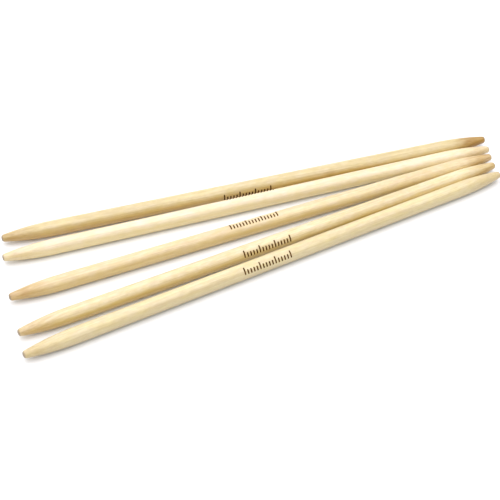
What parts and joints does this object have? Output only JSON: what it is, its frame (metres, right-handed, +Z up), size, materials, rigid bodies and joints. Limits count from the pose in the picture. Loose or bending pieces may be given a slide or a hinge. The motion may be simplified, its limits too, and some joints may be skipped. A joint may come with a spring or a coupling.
{
  "type": "double pointed needles",
  "caption": "Set of short, slim, round bamboo knitting needles, each solid and straight with the same blunt taper at both ends, lying loose side by side as a fan.",
  "frame": {"origin": "on the table plane, under the middle of the middle needle", "axes": "+X along the middle needle towards the gathered end of the fan, +Y across the fan towards its back, +Z up from the table"},
  "size_m": [0.1541, 0.0461, 0.0045],
  "materials": {
    "bamboo_cream": "satin waxed bamboo",
    "bamboo_golden": "satin waxed bamboo",
    "bamboo_warm": "satin waxed bamboo",
    "bamboo_pale": "satin waxed bamboo",
    "bamboo_tan": "satin waxed bamboo",
    "size_mark": "matt scorched bamboo"
  },
  "bodies": {
    "front_needle": {"front_needle": "bamboo_cream"},
    "front_inner_needle": {"front_inner_needle": "bamboo_golden"},
    "middle_needle": {"middle_needle": "bamboo_warm"},
    "back_inner_needle": {"back_inner_needle": "bamboo_pale"},
    "back_needle": {"back_needle": "bamboo_tan"}
  },
  "joints": [
    {"name": "front_draw_out", "type": "slide", "parent": "middle_needle", "child": "front_needle", "axis": [-0.9963, -0.0854, 0], "range_m": [0, 0.15]},
    {"name": "front_inner_draw_out", "type": "slide", "parent": "middle_needle", "child": "front_inner_needle", "axis": [-0.998, -0.0628, 0], "range_m": [0, 0.15]},
    {"name": "back_inner_draw_out", "type": "slide", "parent": "middle_needle", "child": "back_inner_needle", "axis": [-0.9969, 0.0785, 0], "range_m": [0, 0.15]},
    {"name": "back_draw_out", "type": "slide", "parent": "middle_needle", "child": "back_needle", "axis": [-0.9951, 0.0993, 0], "range_m": [0, 0.15]}
  ]
}
